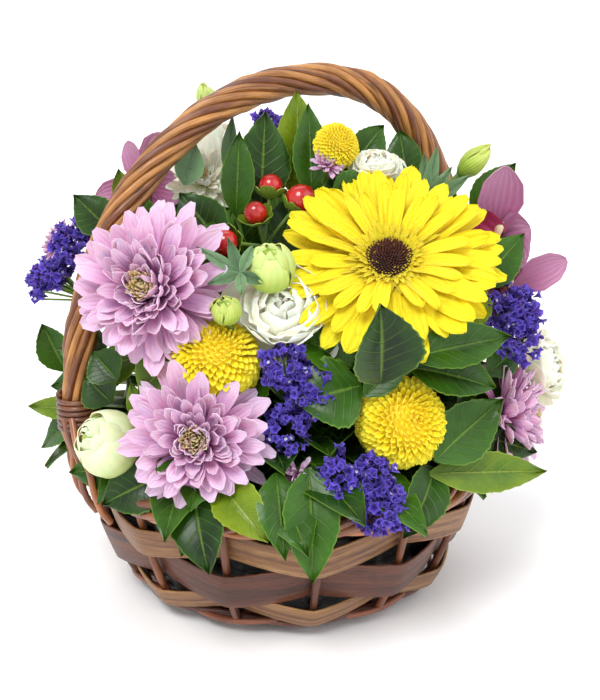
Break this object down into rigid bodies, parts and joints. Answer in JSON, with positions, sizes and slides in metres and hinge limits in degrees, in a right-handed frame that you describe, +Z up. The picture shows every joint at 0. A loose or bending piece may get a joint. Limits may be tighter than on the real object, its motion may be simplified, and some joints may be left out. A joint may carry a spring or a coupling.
{
  "type": "flower basket arrangement",
  "caption": "Round woven willow basket with a wound hoop handle, filled with wet foam and a domed arrangement of cut flowers and leaves.",
  "frame": {"origin": "centre of the flat underside of the basket's base", "axes": "+Z up; the handle's feet lie on the X axis and its arch stands over the basket from -X to +X; -Y is the side that the gerbera faces"},
  "size_m": [0.2888, 0.2842, 0.2813],
  "materials": {
    "basket": "red-brown willow rod, varnished, satin",
    "chip_tan": "flat wood chip, tan, fine grain, thin varnish",
    "chip_dark": "flat wood chip, stained dark brown, fine grain",
    "handle": "honey-tan peeled willow rods, varnished, darker knots",
    "liner": "thin dark film",
    "foam": "wet floral foam, matt",
    "yellow_petal": "fresh petal, velvety, fine lengthwise veins",
    "gerbera_eye": "matt, dotted with tiny yellow tips",
    "pink_petal": "fresh petal, paler at the tips",
    "white_petal": "fresh petal, thin and slightly ruffled",
    "green_bud": "closed bud, satin",
    "orchid": "waxy petal with darker stripes",
    "berry": "glossy skin of a berry",
    "statice": "papery violet calyx",
    "leaf": "glossy evergreen leaf with a paler midrib"
  },
  "bodies": {
    "root": {"base_disc": "basket", "stake_frame": "basket", "base_rod_lower": "basket", "base_rod_upper": "basket", "rim_strand_1": "basket", "rim_strand_2": "basket", "rim_strand_3": "basket", "binding_left": "basket", "binding_right": "basket", "band_lower": "chip_tan", "band_upper": "chip_tan", "band_middle": "chip_dark", "handle_core": "handle", "handle_rod_1": "handle", "handle_rod_2": "handle", "handle_rod_3": "handle", "handle_rod_4": "handle", "handle_rod_5": "handle", "handle_rod_6": "handle", "handle_rod_7": "handle", "handle_rod_8": "handle", "liner": "liner", "foam": "foam", "gerbera_rays": "yellow_petal", "button_front": "yellow_petal", "button_middle": "yellow_petal", "button_top": "yellow_petal", "button_back": "yellow_petal", "gerbera_eye": "gerbera_eye", "mum_left": "pink_petal", "mum_front": "pink_petal", "mum_right": "pink_petal", "mum_back": "pink_petal", "mum_white": "white_petal", "lisianthus_centre": "white_petal", "lisianthus_right": "white_petal", "lisianthus_top": "white_petal", "rosebud_cream": "white_petal", "bud_large": "green_bud", "bud_small": "green_bud", "bud_tall": "green_bud", "orchid_right": "orchid", "orchid_left": "orchid", "hypericum": "berry", "statice_left": "statice", "statice_centre": "statice", "statice_front": "statice", "statice_right": "statice", "statice_back": "statice", "leaves_collar_1": "leaf", "leaves_collar_2": "leaf", "leaves_collar_3": "leaf", "leaves_collar_4": "leaf", "leaves_collar_5": "leaf", "leaves_collar_6": "leaf", "leaves_collar_7": "leaf", "leaves_collar_8": "leaf", "leaves_top": "leaf", "leaves_right": "leaf", "leaves_left": "leaf"}
  },
  "joints": []
}
